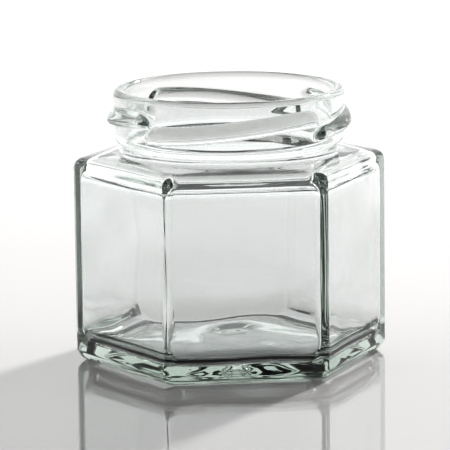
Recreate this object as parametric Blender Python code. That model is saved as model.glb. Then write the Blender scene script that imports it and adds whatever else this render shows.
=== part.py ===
"""An empty hexagonal glass jar with a four-lug twist-off finish.

One closed glass body: a domed base on a flat bearing ring, six flat panels, a rounded shoulder that turns
from the hexagon to the round neck, a waist, a bead, a band with four slanted lugs, and a rounded lip over
an open bore. The origin is the centre of the bearing ring, with a flat panel facing -Y and +Y.
"""

import math

import bmesh
import bpy
from mathutils import Vector

MM = 0.001

# Whole jar
HEIGHT = 65.0 * MM
ACROSS_FLATS = 65.0 * MM
WALL = 2.7 * MM
PANELS = 6

# Body, outside
PANEL_CORNER = 2.5 * MM
HEEL = 3.0 * MM
PANEL_TOP = 46.6 * MM
SHOULDER_EDGE = 2.4 * MM
SHOULDER_TILT = 14.0
SHOULDER_CORNER = 5.0 * MM

# Body, inside
INNER_CORNER = 1.8 * MM
INNER_HEEL = 5.4 * MM
FLOOR = 3.7 * MM
FLOOR_DOME = 2.8 * MM
INNER_PANEL_TOP = 43.4 * MM
INNER_SHOULDER_EDGE = 3.2 * MM
INNER_SHOULDER_TILT = 20.0

# Underside
BEARING_WIDTH = 2.6 * MM
BEARING_STEP = 0.4 * MM
PUSH_UP = 3.4 * MM
RECESS_CORNER = 3.5 * MM

# Neck, outside
WAIST_RADIUS = 25.4 * MM
WAIST_Z = 51.0 * MM
WAIST_FILLET = 1.3 * MM
BEAD_RADIUS = 27.35 * MM
BEAD_UNDERSIDE = 51.9 * MM
BEAD_ROUND = 1.9 * MM
BEAD_FROM = -75.0
BEAD_TO = -10.0
BAND_RADIUS = 27.4 * MM
LIP_ROUND = 1.4 * MM

# Neck, inside
BORE_RADIUS = 24.6 * MM
BORE_BOTTOM = 51.6 * MM
BORE_ROUND = 2.6 * MM

# Lugs of the twist-off finish
LUGS = 4
LUG_TIP_RADIUS = 29.0 * MM
LUG_LOW_END = -47.0
LUG_HIGH_END = 47.0
LUG_BOTTOM = 54.6 * MM
LUG_RISE = 3.4 * MM
LUG_DEPTH = 4.1 * MM
LUG_TIP_SHARE = 0.3
LUG_END_RAMP = 6.0
LUG_END_LEAN = 5.0
LUG_FIRST = -4.0

# How finely the surface is divided
CORNER_STEPS = 4
FLAT_STEPS = 12
DOME_STEPS = 4
ROUND_STEPS = 5
FILLET_STEPS = 3
SLOPE_STEPS = 4
LIP_STEPS = 8
LUG_ROWS = 17
FIRST_LUG_ROW = 54.1 * MM
LAST_LUG_ROW = 62.3 * MM
MERGE_WITHIN = 0.01 * MM

SECTOR_STEPS = CORNER_STEPS + FLAT_STEPS
COLUMNS = PANELS * SECTOR_STEPS
HALF_SECTOR = math.pi / PANELS
HALF_FLATS = ACROSS_FLATS / 2
INNER_HALF = HALF_FLATS - WALL


def clear_scene():
    for old in list(bpy.data.objects):
        bpy.data.objects.remove(old, do_unlink=True)


def smooth(share):
    share = min(1.0, max(0.0, share))
    return share * share * (3 - 2 * share)


def arc(reach, height, radius, start, end, steps):
    """Points of an arc in the profile's plane, from one angle above the horizontal to another."""
    turns = [math.radians(start + (end - start) * i / steps) for i in range(steps + 1)]
    return [(reach + radius * math.cos(t), height + radius * math.sin(t)) for t in turns]


def row(points, hexness=1.0, corner=PANEL_CORNER, lugged=0.0):
    """Profile points that share one plan shape: 1 is the rounded hexagon and 0 the circle."""
    return [(reach, height, hexness, corner, lugged) for reach, height in points]


def between(low, high, steps, hex_low, hex_high, corner_low, corner_high):
    """Profile points between two points, where the plan goes evenly from one shape to the other."""
    found = []
    for i in range(1, steps):
        share = i / steps
        reach = low[0] + (high[0] - low[0]) * share
        height = low[1] + (high[1] - low[1]) * share
        hexness = hex_low + (hex_high - hex_low) * smooth(share)
        corner = corner_low + (corner_high - corner_low) * share
        found.append((reach, height, hexness, corner, 0.0))
    return found


def underside_profile():
    """From the middle of the push-up out to the bearing ring."""
    ring_outside = HALF_FLATS - HEEL
    ring_inside = ring_outside - BEARING_WIDTH
    dome_edge = ring_inside - 2 * BEARING_STEP
    dome = []
    for i in range(DOME_STEPS):
        share = i / DOME_STEPS
        height = BEARING_STEP + (PUSH_UP - BEARING_STEP) * (1 - share * share)
        dome.append((dome_edge * share, height, smooth(share), RECESS_CORNER, 0.0))
    return dome + row([(dome_edge, BEARING_STEP), (ring_inside, 0.0)], corner=RECESS_CORNER)


def body_profile():
    """The heel, the panels and the shoulder, up to the waist of the neck."""
    heel = arc(HALF_FLATS - HEEL, HEEL, HEEL, -90, 0, ROUND_STEPS)
    edge_reach = HALF_FLATS - SHOULDER_EDGE
    edge = arc(edge_reach, PANEL_TOP, SHOULDER_EDGE, 0, 90 - SHOULDER_TILT, ROUND_STEPS)
    centre = WAIST_RADIUS + WAIST_FILLET
    fillet = arc(centre, WAIST_Z, WAIST_FILLET, 270 - SHOULDER_TILT, 180, FILLET_STEPS)
    slope = between(edge[-1], fillet[0], SLOPE_STEPS, 1.0, 0.0, PANEL_CORNER, SHOULDER_CORNER)
    return row(heel) + row(edge) + slope + row(fillet, hexness=0.0)


def neck_profile():
    """The bead, the band that carries the lugs, and the lip."""
    centre = BEAD_RADIUS - BEAD_ROUND
    bead = arc(centre, BEAD_UNDERSIDE + BEAD_ROUND, BEAD_ROUND, BEAD_FROM, BEAD_TO, SLOPE_STEPS)
    steps = LUG_ROWS - 1
    heights = [FIRST_LUG_ROW + (LAST_LUG_ROW - FIRST_LUG_ROW) * i / steps for i in range(LUG_ROWS)]
    band = [(BAND_RADIUS, height) for height in heights]
    lip = arc(BAND_RADIUS - LIP_ROUND, HEIGHT - LIP_ROUND, LIP_ROUND, 0, 180, LIP_STEPS)
    return row(bead, hexness=0.0) + row(band, hexness=0.0, lugged=1.0) + row(lip, hexness=0.0)


def inside_profile():
    """From the bore down over the inner shoulder and panels to the middle of the floor."""
    centre = BORE_RADIUS + BORE_ROUND
    mouth = arc(centre, BORE_BOTTOM, BORE_ROUND, 180, 270 - INNER_SHOULDER_TILT, FILLET_STEPS)
    edge_reach = INNER_HALF - INNER_SHOULDER_EDGE
    tilt = INNER_SHOULDER_TILT
    edge = arc(edge_reach, INNER_PANEL_TOP, INNER_SHOULDER_EDGE, 90 - tilt, 0, SLOPE_STEPS)
    slope = between(mouth[-1], edge[0], SLOPE_STEPS, 0.0, 1.0, SHOULDER_CORNER, INNER_CORNER)
    heel = arc(INNER_HALF - INNER_HEEL, FLOOR + INNER_HEEL, INNER_HEEL, 0, -90, ROUND_STEPS)
    floor = []
    for i in reversed(range(DOME_STEPS)):
        share = i / DOME_STEPS
        reach = (INNER_HALF - INNER_HEEL) * share
        floor.append((reach, FLOOR + FLOOR_DOME * (1 - share * share), smooth(share), INNER_CORNER, 0.0))
    inner_body = row(edge, corner=INNER_CORNER) + row(heel, corner=INNER_CORNER)
    return row(mouth, hexness=0.0) + slope + inner_body + floor


def on_circle(column, reach):
    turn = 2 * math.pi * column / COLUMNS
    return Vector((reach * math.cos(turn), reach * math.sin(turn)))


def on_hexagon(column, half, corner):
    """A point of the rounded hexagon: the corners' arcs and the flats share the columns."""
    sector = (column + CORNER_STEPS // 2) // SECTOR_STEPS
    step = column + CORNER_STEPS // 2 - sector * SECTOR_STEPS
    corner = min(corner, half)
    away = (half - corner) / math.cos(HALF_SECTOR)

    def arc_point(index, turn):
        middle = 2 * HALF_SECTOR * index
        direction = middle + turn
        x = away * math.cos(middle) + corner * math.cos(direction)
        y = away * math.sin(middle) + corner * math.sin(direction)
        return Vector((x, y))

    if step <= CORNER_STEPS:
        return arc_point(sector, HALF_SECTOR * (2 * step / CORNER_STEPS - 1))
    share = (step - CORNER_STEPS) / FLAT_STEPS
    return arc_point(sector, HALF_SECTOR).lerp(arc_point(sector + 1, -HALF_SECTOR), share)


def lug_height(turn, height):
    """How far the lugs stand out of the band, in shares of their full depth."""
    pitch = 360 / LUGS
    most = 0.0
    for lug in range(LUGS):
        along = (turn - LUG_FIRST - lug * pitch + 180) % 360 - 180
        share = (along - LUG_LOW_END) / (LUG_HIGH_END - LUG_LOW_END)
        up = (height - LUG_BOTTOM - LUG_RISE * smooth(share)) / LUG_DEPTH
        if not 0 < up < 1:
            continue
        lean = LUG_END_LEAN * (abs(up - LUG_TIP_SHARE) / (1 - LUG_TIP_SHARE)) ** 2
        low = smooth((along - LUG_LOW_END - lean) / LUG_END_RAMP)
        high = smooth((LUG_HIGH_END - lean - along) / LUG_END_RAMP)
        power = math.log(0.5) / math.log(LUG_TIP_SHARE)
        most = max(most, math.sin(math.pi * up**power) * low * high)
    return most


def jar_material():
    glass = bpy.data.materials.new("glass")
    glass.use_nodes = True
    shader = glass.node_tree.nodes["Principled BSDF"]
    shader.inputs["Base Color"].default_value = (0.86, 0.94, 0.91, 1.0)
    shader.inputs["Roughness"].default_value = 0.03
    shader.inputs["Metallic"].default_value = 0.0
    shader.inputs["IOR"].default_value = 1.52
    shader.inputs["Transmission Weight"].default_value = 1.0
    return glass


def make_jar():
    profile = underside_profile() + body_profile() + neck_profile() + inside_profile()
    bm = bmesh.new()
    hexness = bm.verts.layers.float.new("hexness")
    corner = bm.verts.layers.float.new("corner")
    lugged = bm.verts.layers.float.new("lugged")
    chain = []
    for reach, height, shape, rounding, lugs in profile:
        vert = bm.verts.new((reach, 0.0, height))
        vert[hexness] = shape
        vert[corner] = rounding
        vert[lugged] = lugs
        chain.append(vert)
    edges = [bm.edges.new(pair) for pair in zip(chain, chain[1:])]
    full_turn = 2 * math.pi
    bmesh.ops.spin(bm, geom=chain + edges, axis=(0, 0, 1), angle=full_turn, steps=COLUMNS, use_merge=True)

    for vert in bm.verts:
        reach = vert.co.xy.length
        turn = math.atan2(vert.co.y, vert.co.x)
        column = round(turn / full_turn * COLUMNS) % COLUMNS
        height = vert.co.z
        if vert[lugged] > 0:
            from_front = math.degrees(turn) + 90
            reach += (LUG_TIP_RADIUS - BAND_RADIUS) * lug_height(from_front, height)
        plan = on_circle(column, reach)
        if vert[hexness] > 0:
            plan = plan.lerp(on_hexagon(column, reach, vert[corner]), vert[hexness])
        vert.co = (plan.x, plan.y, height)

    bmesh.ops.remove_doubles(bm, verts=bm.verts[:], dist=MERGE_WITHIN)
    bmesh.ops.recalc_face_normals(bm, faces=bm.faces[:])
    mesh = bpy.data.meshes.new("jar")
    bm.to_mesh(mesh)
    bm.free()
    mesh.shade_smooth()
    mesh.materials.append(jar_material())
    jar = bpy.data.objects.new("jar", mesh)
    bpy.context.scene.collection.objects.link(jar)
    return jar


clear_scene()
make_jar()
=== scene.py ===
import math
import bmesh
import bpy
from mathutils import Matrix, Vector, noise


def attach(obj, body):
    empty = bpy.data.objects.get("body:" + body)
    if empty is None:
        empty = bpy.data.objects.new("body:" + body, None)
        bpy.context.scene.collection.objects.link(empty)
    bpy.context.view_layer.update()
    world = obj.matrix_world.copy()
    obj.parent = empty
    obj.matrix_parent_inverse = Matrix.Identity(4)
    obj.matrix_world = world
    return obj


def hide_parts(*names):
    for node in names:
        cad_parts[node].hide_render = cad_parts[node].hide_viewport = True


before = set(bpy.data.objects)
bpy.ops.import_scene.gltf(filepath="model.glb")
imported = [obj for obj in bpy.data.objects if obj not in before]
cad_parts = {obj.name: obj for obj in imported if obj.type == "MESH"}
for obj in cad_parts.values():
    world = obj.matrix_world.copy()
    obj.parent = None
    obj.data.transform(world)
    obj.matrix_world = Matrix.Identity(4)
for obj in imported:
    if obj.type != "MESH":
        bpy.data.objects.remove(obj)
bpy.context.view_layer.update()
fullTurn = 2 * math.pi


def mm(value):
    return value / 1000


def linearColour(hexText):  # sRGB hex to the linear values that a shader takes
    channels = [int(hexText[i:i + 2], 16) / 255 for i in (0, 2, 4)]
    return [c / 12.92 if c <= 0.04045 else ((c + 0.055) / 1.055) ** 2.4 for c in channels] + [1.0]


def ease(share):
    share = min(1.0, max(0.0, share))
    return share * share * (3 - 2 * share)


def addNode(owner, kind, settings=None, links=None):  # to a material or a world, with sockets by name or number
    node = owner.node_tree.nodes.new(kind)
    for name, value in (settings or {}).items():
        if hasattr(node, str(name)):
            setattr(node, name, value)
        else:
            node.inputs[name].default_value = value
    for name, source in (links or {}).items():
        owner.node_tree.links.new(source, node.inputs[name])
    return node


def newMaterial(name):
    material = bpy.data.materials.new(name)
    material.use_nodes = True
    material.node_tree.nodes.clear()
    return material


def addPiece(name, bm, material):
    mesh = bpy.data.meshes.new(name)
    bm.to_mesh(mesh)
    bm.free()
    mesh.shade_smooth()
    mesh.materials.append(material)
    piece = bpy.data.objects.new(name, mesh)
    bpy.context.scene.collection.objects.link(piece)
    return piece


# The camera, as the photograph was taken: a long lens a little above the rim, just left of the front panel
cameraView = {
    "azimuth": -6.0,  # degrees, as are the next one and the roll
    "elevation": 10.606,
    "roll": -0.676,
    "distance": 798.6,  # mm from the aim
    "aimRight": -1.287,
    "aimHeight": 31.6,
    "focalPixels": 3347.7,
    "imagePixels": 450,
    "sensor": 36.0,
    "nearest": 50.0,
    "farthest": 20000.0,
}


def makeCamera(view):
    lens = bpy.data.cameras.new("camera")
    lens.sensor_width = view["sensor"]
    lens.lens = view["focalPixels"] / view["imagePixels"] * view["sensor"]
    lens.clip_start = mm(view["nearest"])
    lens.clip_end = mm(view["farthest"])
    azimuth, elevation = math.radians(view["azimuth"]), math.radians(view["elevation"])
    turn = Matrix.Rotation(azimuth, 4, "Z")
    tilt = Matrix.Rotation(math.pi / 2 - elevation, 4, "X")
    roll = Matrix.Rotation(math.radians(view["roll"]), 4, "Z")
    aim = turn @ Vector((mm(view["aimRight"]), 0, mm(view["aimHeight"])))
    back = turn @ tilt @ Vector((0, 0, mm(view["distance"])))
    camera = bpy.data.objects.new("camera", lens)
    camera.matrix_world = Matrix.Translation(aim + back) @ turn @ tilt @ roll
    bpy.context.scene.collection.objects.link(camera)
    bpy.context.scene.camera = camera


makeCamera(cameraView)
print("camera placed")

# The jar, in millimetres and degrees; the outline runs from under the base, up the outside, down the inside
jarSizes = {
    "height": 65.0,
    "halfFlats": 32.5,
    "wall": 2.7,
    "bearingWidth": 2.6,  # the flat ring that the jar stands on
    "bearingStep": 0.4,
    "pushUp": 3.4,
    "recessCorner": 3.5,
    "baseHollow": 0.97,  # the mould's mark in the middle of the push-up
    "baseHollowReach": 4.7,
    "heel": 3.0,
    "panelCorner": 2.5,
    "panelTop": 46.6,
    "shoulderEdge": 2.4,
    "shoulderTilt": 14.0,
    "shoulderCorner": 5.0,
    "waistRadius": 25.4,
    "waistHeight": 51.0,
    "waistFillet": 1.3,
    "beadRadius": 27.35,
    "beadUnderside": 51.9,
    "beadRound": 1.9,
    "beadFrom": -75.0,
    "beadTo": -10.0,
    "bandRadius": 27.4,
    "lipRound": 1.4,
    "boreRadius": 24.6,
    "boreBottom": 51.6,
    "boreRound": 2.6,
    "innerTilt": 20.0,
    "innerEdge": 3.2,
    "innerPanelTop": 43.4,
    "innerCorner": 1.65,
    "innerCornerEnds": 1.8,  # a little wider near the shoulder and the heel
    "innerHeel": 5.4,
    "floor": 3.7,
    "floorDome": 2.8,
    "floorHollow": 0.96,  # the shallow hollow that blowing leaves in the middle of the floor
    "floorHollowReach": 8.6,
    "waveDepth": 0.3,  # the inside was shaped by air alone, so it isn't quite even
    "waveLength": 13.0,
    "waveTop": 46.0,
    "waveFade": 6.0,
    "mergeWithin": 0.005,
}

# How finely each stretch of the outline is divided, in the same order, and how finely each sixth of the turn
outlineSteps = {
    "dome": 24,
    "step": 3,
    "heel": 14,
    "panel": 16,
    "edge": 14,
    "shoulder": 14,
    "fillet": 10,
    "bead": 10,
    "lugRows": 72,
    "lip": 24,
    "bore": 10,
    "mouth": 10,
    "innerShoulder": 12,
    "innerEdge": 12,
    "innerPanel": 24,
    "innerHeel": 16,
    "floor": 28,
    "corner": 12,
    "flat": 36,
}

# The lugs, four slanted ridges that a lid's own lugs slide under, in millimetres and degrees
lugSizes = {
    "count": 4,
    "tipRadius": 29.0,
    "first": -4.0,  # turn from the front to the middle of the first
    "lowEnd": -47.0,
    "highEnd": 47.0,
    "bottom": 54.6,
    "rise": 3.4,
    "depth": 4.1,
    "tipShare": 0.3,  # how far up the ridge its tip is
    "endRamp": 6.0,
    "endLean": 5.0,
    "lowestRow": 54.1,
    "highestRow": 62.4,
}


def arcPoints(reach, height, radius, start, end, steps):
    turns = [math.radians(start + (end - start) * i / steps) for i in range(steps + 1)]
    return [(reach + radius * math.cos(t), height + radius * math.sin(t)) for t in turns]


def linePoints(start, end, steps):  # the points between two ends, without the ends
    return [tuple(a + (b - a) * i / steps for a, b in zip(start, end)) for i in range(1, steps)]


def hollow(reach, depth, most):  # a shallow round hollow in the middle, deepest at the axis
    return depth * (0.5 + 0.5 * math.cos(math.pi * min(1.0, reach / most)))


# From point to point: reach, height, how hexagonal, corner radius, and whether it carries lugs
def jarOutline(s, steps, lugs):
    outline = []

    def plan(points, hexness, corner=s["panelCorner"], lugged=0.0):
        outline.extend((reach, height, hexness, corner, lugged) for reach, height in points)

    def blend(start, end, count, startHex, endHex, startCorner, endCorner):
        for i, (reach, height) in enumerate(linePoints(start, end, count), 1):
            share = i / count
            hexness = startHex + (endHex - startHex) * ease(share)
            corner = startCorner + (endCorner - startCorner) * share
            outline.append((reach, height, hexness, corner, 0.0))

    # under the base, out to the ring
    ringInside = s["halfFlats"] - s["heel"] - s["bearingWidth"]
    domeEdge = ringInside - 2 * s["bearingStep"]
    for i in range(steps["dome"]):
        share = i / steps["dome"]
        height = s["bearingStep"] + (s["pushUp"] - s["bearingStep"]) * (1 - share * share)
        height += hollow(domeEdge * share, s["baseHollow"], s["baseHollowReach"])
        outline.append((domeEdge * share, height, ease(share), s["recessCorner"], 0.0))
    plan([(domeEdge, s["bearingStep"])], 1.0, s["recessCorner"])
    plan(linePoints((domeEdge, s["bearingStep"]), (ringInside, 0.0), steps["step"]), 1.0, s["recessCorner"])
    plan([(ringInside, 0.0)], 1.0, s["recessCorner"])

    # up the panels and over the shoulder to the waist
    heel = arcPoints(s["halfFlats"] - s["heel"], s["heel"], s["heel"], -90, 0, steps["heel"])
    edgeMiddle = (s["halfFlats"] - s["shoulderEdge"], s["panelTop"])
    edge = arcPoints(*edgeMiddle, s["shoulderEdge"], 0, 90 - s["shoulderTilt"], steps["edge"])
    waist = s["waistRadius"] + s["waistFillet"]
    fillet = arcPoints(waist, s["waistHeight"], s["waistFillet"], 270 - s["shoulderTilt"], 180, steps["fillet"])
    plan(heel, 1.0)
    plan(linePoints(heel[-1], edge[0], steps["panel"]), 1.0)
    plan(edge, 1.0)
    blend(edge[-1], fillet[0], steps["shoulder"], 1.0, 0.0, s["panelCorner"], s["shoulderCorner"])
    plan(fillet, 0.0)

    # the bead, the band with the lugs, and the lip
    beadMiddle = (s["beadRadius"] - s["beadRound"], s["beadUnderside"] + s["beadRound"])
    plan(arcPoints(*beadMiddle, s["beadRound"], s["beadFrom"], s["beadTo"], steps["bead"]), 0.0)
    lowest, highest = (s["bandRadius"], lugs["lowestRow"]), (s["bandRadius"], lugs["highestRow"])
    plan([lowest], 0.0)
    plan(linePoints(lowest, highest, steps["lugRows"]), 0.0, lugged=1.0)
    plan([highest], 0.0)
    lipMiddle = (s["bandRadius"] - s["lipRound"], s["height"] - s["lipRound"])
    plan(arcPoints(*lipMiddle, s["lipRound"], 0, 180, steps["lip"]), 0.0)

    # down the bore, under the shoulder and down the inside of the panels
    bore = s["boreRadius"] + s["boreRound"]
    mouth = arcPoints(bore, s["boreBottom"], s["boreRound"], 180, 270 - s["innerTilt"], steps["mouth"])
    innerHalf = s["halfFlats"] - s["wall"]
    edgeMiddle = (innerHalf - s["innerEdge"], s["innerPanelTop"])
    innerEdge = arcPoints(*edgeMiddle, s["innerEdge"], 90 - s["innerTilt"], 0, steps["innerEdge"])
    heelMiddle = (innerHalf - s["innerHeel"], s["floor"] + s["innerHeel"])
    innerHeel = arcPoints(*heelMiddle, s["innerHeel"], 0, -90, steps["innerHeel"])
    plan(linePoints((s["boreRadius"], s["height"] - s["lipRound"]), mouth[0], steps["bore"]), 0.0)
    plan(mouth, 0.0)
    blend(mouth[-1], innerEdge[0], steps["innerShoulder"], 0.0, 1.0, s["shoulderCorner"], s["innerCornerEnds"])
    plan(innerEdge, 1.0, s["innerCornerEnds"])
    for i, point in enumerate(linePoints(innerEdge[-1], innerHeel[0], steps["innerPanel"]), 1):
        fromMiddle = abs(2 * i / steps["innerPanel"] - 1)
        corner = s["innerCorner"] + (s["innerCornerEnds"] - s["innerCorner"]) * fromMiddle ** 3
        plan([point], 1.0, corner)
    plan(innerHeel, 1.0, s["innerCornerEnds"])

    # and in over the domed floor
    for i in reversed(range(steps["floor"])):
        share = i / steps["floor"]
        reach = (innerHalf - s["innerHeel"]) * share
        dome = s["floor"] + s["floorDome"] * (1 - share * share)
        height = dome - hollow(reach, s["floorHollow"], s["floorHollowReach"])
        outline.append((reach, height, ease(share), s["innerCornerEnds"], 0.0))
    return outline


def lugHeight(lugs, turn, height):  # how far the lugs stand out at a turn from the front, from 0 to 1
    most = 0.0
    for number in range(lugs["count"]):
        along = (turn - lugs["first"] - number * 360 / lugs["count"] + 180) % 360 - 180
        share = (along - lugs["lowEnd"]) / (lugs["highEnd"] - lugs["lowEnd"])
        up = (height - lugs["bottom"] - lugs["rise"] * ease(share)) / lugs["depth"]
        if not 0 < up < 1:
            continue
        lean = lugs["endLean"] * (abs(up - lugs["tipShare"]) / (1 - lugs["tipShare"])) ** 2
        low = ease((along - lugs["lowEnd"] - lean) / lugs["endRamp"])
        high = ease((lugs["highEnd"] - lean - along) / lugs["endRamp"])
        power = math.log(0.5) / math.log(lugs["tipShare"])  # brings the sine's middle to the tip
        most = max(most, math.sin(math.pi * up ** power) * low * high)
    return most


def hexagonPoint(steps, column, half, corner):  # the corners' arcs and the flats share the columns of the spin
    sector, step = divmod(column + steps["corner"] // 2, steps["corner"] + steps["flat"])
    corner = min(corner, half)
    away = (half - corner) / math.cos(math.pi / 6)

    def arcPoint(index, turn):
        middle = index * math.pi / 3
        centre = Vector((math.cos(middle), math.sin(middle))) * away
        return centre + Vector((math.cos(middle + turn), math.sin(middle + turn))) * corner

    if step <= steps["corner"]:
        return arcPoint(sector, math.pi / 6 * (2 * step / steps["corner"] - 1))
    share = (step - steps["corner"]) / steps["flat"]
    return arcPoint(sector, math.pi / 6).lerp(arcPoint(sector + 1, -math.pi / 6), share)


def wave(s, place, height):  # how far the inside is out of true: nothing near the neck and the floor's hollow
    where = Vector((place.x, place.y, height)) / s["waveLength"]
    belowNeck = 1 - ease((height - s["waveTop"]) / s["waveFade"])
    outsideHollow = ease((place.length - s["floorHollowReach"]) / s["waveFade"])
    return s["waveDepth"] * noise.noise(where) * belowNeck * outsideHollow


def makeJar(s, steps, lugs, material):
    bm = bmesh.new()
    layers = [bm.verts.layers.float.new(name) for name in ("hexness", "corner", "lugged", "inside")]
    chain = []
    rim = s["height"] - 2 * s["mergeWithin"]
    pastRim = 0.0  # 1 from the top of the lip on, so for the whole inside
    for reach, height, *facts in jarOutline(s, steps, lugs):
        pastRim = max(pastRim, float(height > rim))
        facts.append(pastRim)
        vert = bm.verts.new((reach, 0, height))
        for layer, fact in zip(layers, facts):
            vert[layer] = fact
        chain.append(vert)
    edges = [bm.edges.new(pair) for pair in zip(chain, chain[1:])]
    columns = 6 * (steps["corner"] + steps["flat"])
    bmesh.ops.spin(bm, geom=chain + edges, axis=(0, 0, 1), angle=fullTurn, steps=columns, use_merge=True)

    # the spun jar is round: each ring takes its hexagon, its lugs and its waves
    hexLayer, cornerLayer, lugLayer, insideLayer = layers
    middle = Vector((0, 0, s["height"] / 2))
    for vert in bm.verts:
        reach, height = vert.co.xy.length, vert.co.z
        turn = math.atan2(vert.co.y, vert.co.x)
        column = round(turn / fullTurn * columns) % columns
        if vert[lugLayer]:
            fromFront = math.degrees(turn) + 90
            reach += (lugs["tipRadius"] - s["bandRadius"]) * lugHeight(lugs, fromFront, height)
        around = column / columns * fullTurn
        place = Vector((math.cos(around), math.sin(around))) * reach
        if vert[hexLayer]:
            place = place.lerp(hexagonPoint(steps, column, reach, vert[cornerLayer]), vert[hexLayer])
        spot = Vector((place.x, place.y, height))
        if vert[insideLayer]:
            spot += (spot - middle).normalized() * wave(s, place, height)
        vert.co = spot / 1000
    bmesh.ops.remove_doubles(bm, verts=bm.verts[:], dist=mm(s["mergeWithin"]))
    bmesh.ops.recalc_face_normals(bm, faces=bm.faces[:])
    return addPiece("glassJar", bm, material)


# The glass's finish, with lengths in millimetres
glassFinish = {
    "film": "f7f8f8",  # the faces' own faint film greys the panels and leaves the long ways in the glass clear
    "cast": "f0f3f1",  # iron in the sand, seen where the light goes a long way
    "castDensity": 100.0,
    "ior": 1.52,
    "rippleLength": 11.0,
    "rippleDepth": 0.03,
    "rippleStrength": 0.25,
}


# Soda-lime glass, blown in a mould and fire-polished: clear and glossy, with a faint ripple where it touched
# the mould and a green cast at the edges and the base
def mouldedSodaLimeGlass(finish):
    glass = newMaterial("mouldedSodaLimeGlass")
    place = addNode(glass, "ShaderNodeTexCoord")
    ripple = addNode(glass, "ShaderNodeTexNoise", {
        "Scale": 1 / mm(finish["rippleLength"]),
        "Detail": 1.0,
    }, {"Vector": place.outputs["Object"]})
    bump = addNode(glass, "ShaderNodeBump", {
        "Strength": finish["rippleStrength"],
        "Distance": mm(finish["rippleDepth"]),
    }, {"Height": ripple.outputs[0]})
    surface = addNode(glass, "ShaderNodeBsdfPrincipled", {
        "Base Color": linearColour(finish["film"]),
        "Roughness": 0.0,
        "IOR": finish["ior"],
        "Transmission Weight": 1.0,
    }, {"Normal": bump.outputs["Normal"]})
    body = addNode(glass, "ShaderNodeVolumeAbsorption", {
        "Color": linearColour(finish["cast"]),
        "Density": finish["castDensity"],
    })
    addNode(glass, "ShaderNodeOutputMaterial", links={"Surface": surface.outputs[0], "Volume": body.outputs[0]})
    return glass


jar = makeJar(jarSizes, outlineSteps, lugSizes, mouldedSodaLimeGlass(glassFinish))
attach(jar, "root")
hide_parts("jar")
print("jar made,", len(jar.data.polygons), "faces")

# The table, plain and pale
tableFinish = {
    "half": 6000.0,  # mm, so that its end is out of sight
    "colour": "cecccb",
    "ior": 1.8,  # the lacquer mirrors the jar more than bare board would
    "glossPatch": 70.0,  # mm, about as wide as the lacquer's own unevenness
    "smoothest": 0.02,
    "roughest": 0.05,
}


# Laminate, a lacquered board: pale and even, and smooth enough to mirror the jar a little softly
def whiteLaminate(finish):
    board = newMaterial("whiteLaminate")
    place = addNode(board, "ShaderNodeTexCoord")
    patches = addNode(board, "ShaderNodeTexNoise", {
        "Scale": 1 / mm(finish["glossPatch"]),
        "Detail": 3.0,
    }, {"Vector": place.outputs["Object"]})
    gloss = addNode(board, "ShaderNodeMapRange", {
        "To Min": finish["smoothest"],
        "To Max": finish["roughest"],
    }, {"Value": patches.outputs[0]})
    surface = addNode(board, "ShaderNodeBsdfPrincipled", {
        "Base Color": linearColour(finish["colour"]),
        "IOR": finish["ior"],
    }, {"Roughness": gloss.outputs[0]})
    addNode(board, "ShaderNodeOutputMaterial", links={"Surface": surface.outputs[0]})
    return board


def makeTable(finish):
    bm = bmesh.new()
    bmesh.ops.create_grid(bm, x_segments=4, y_segments=4, size=mm(finish["half"]))
    addPiece("table", bm, whiteLaminate(finish))


makeTable(tableFinish)

# The studio: one soft key light behind the jar to the right, and a dim room with a long low bright backdrop
keyLight = {
    "turn": 39.0,  # degrees from straight behind the jar
    "height": 34.0,
    "away": 1100.0,  # mm
    "size": 110.0,
    "power": 12.5,
}
studioGlow = {
    "room": 0.2,
    "backdrop": 1.38,
    "top": 0.6,  # the backdrop's top and its fade, as the sine of the angle above the table
    "topFade": 0.12,
    "side": -0.6,  # and how far it reaches round towards the camera, from 1 behind the jar to -1
    "sideFade": 0.6,
}
studioView = {
    "transform": "Standard",
    "gamma": 0.82,
    "glassBounces": 48,  # light goes many times round inside thick glass before it comes out
    "glossBounces": 16,
}


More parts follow.
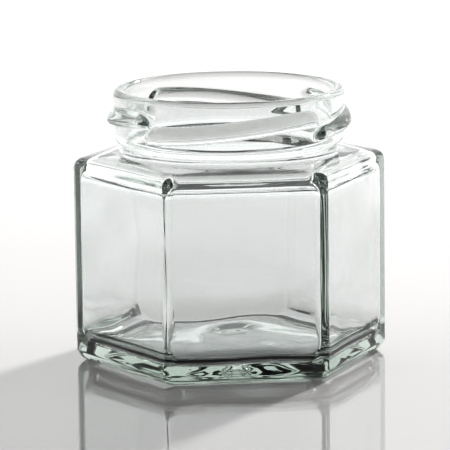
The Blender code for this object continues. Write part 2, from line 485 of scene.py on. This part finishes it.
def makeLight(facts):
    lamp = bpy.data.lights.new("key", "AREA")
    lamp.shape = "DISK"
    lamp.size = mm(facts["size"])
    lamp.energy = facts["power"]
    turn, height = math.radians(facts["turn"]), math.radians(facts["height"])
    level = Vector((math.sin(turn), math.cos(turn), 0)) * math.cos(height)
    light = bpy.data.objects.new("key", lamp)
    light.location = (level + Vector((0, 0, math.sin(height)))) * mm(facts["away"])
    light.rotation_euler = (-light.location).to_track_quat("-Z", "Y").to_euler()
    bpy.context.scene.collection.objects.link(light)


def makeWorld(glow):
    world = bpy.data.worlds.new("studio")
    world.use_nodes = True
    world.node_tree.nodes.clear()
    direction = addNode(world, "ShaderNodeTexCoord")
    parts = addNode(world, "ShaderNodeSeparateXYZ", links={0: direction.outputs["Generated"]})
    low = addNode(world, "ShaderNodeMapRange", {
        "interpolation_type": "SMOOTHSTEP",
        "From Min": glow["top"] + glow["topFade"],
        "From Max": glow["top"],
    }, {"Value": parts.outputs["Z"]})
    behind = addNode(world, "ShaderNodeMapRange", {
        "interpolation_type": "SMOOTHSTEP",
        "From Min": glow["side"],
        "From Max": glow["side"] + glow["sideFade"],
    }, {"Value": parts.outputs["Y"]})
    both = addNode(world, "ShaderNodeMath", {
        "operation": "MULTIPLY",
    }, {0: low.outputs[0], 1: behind.outputs[0]})
    strength = addNode(world, "ShaderNodeMapRange", {
        "To Min": glow["room"],
        "To Max": glow["backdrop"],
    }, {"Value": both.outputs[0]})
    sky = addNode(world, "ShaderNodeBackground", {"Color": (1, 1, 1, 1)}, {"Strength": strength.outputs[0]})
    addNode(world, "ShaderNodeOutputWorld", links={"Surface": sky.outputs[0]})
    bpy.context.scene.world = world


def setView(view):
    scene = bpy.context.scene
    scene.view_settings.view_transform = view["transform"]
    scene.view_settings.gamma = view["gamma"]
    scene.cycles.max_bounces = view["glassBounces"]
    scene.cycles.transmission_bounces = view["glassBounces"]
    scene.cycles.glossy_bounces = view["glossBounces"]


makeLight(keyLight)
makeWorld(studioGlow)
setView(studioView)
print("studio lit")
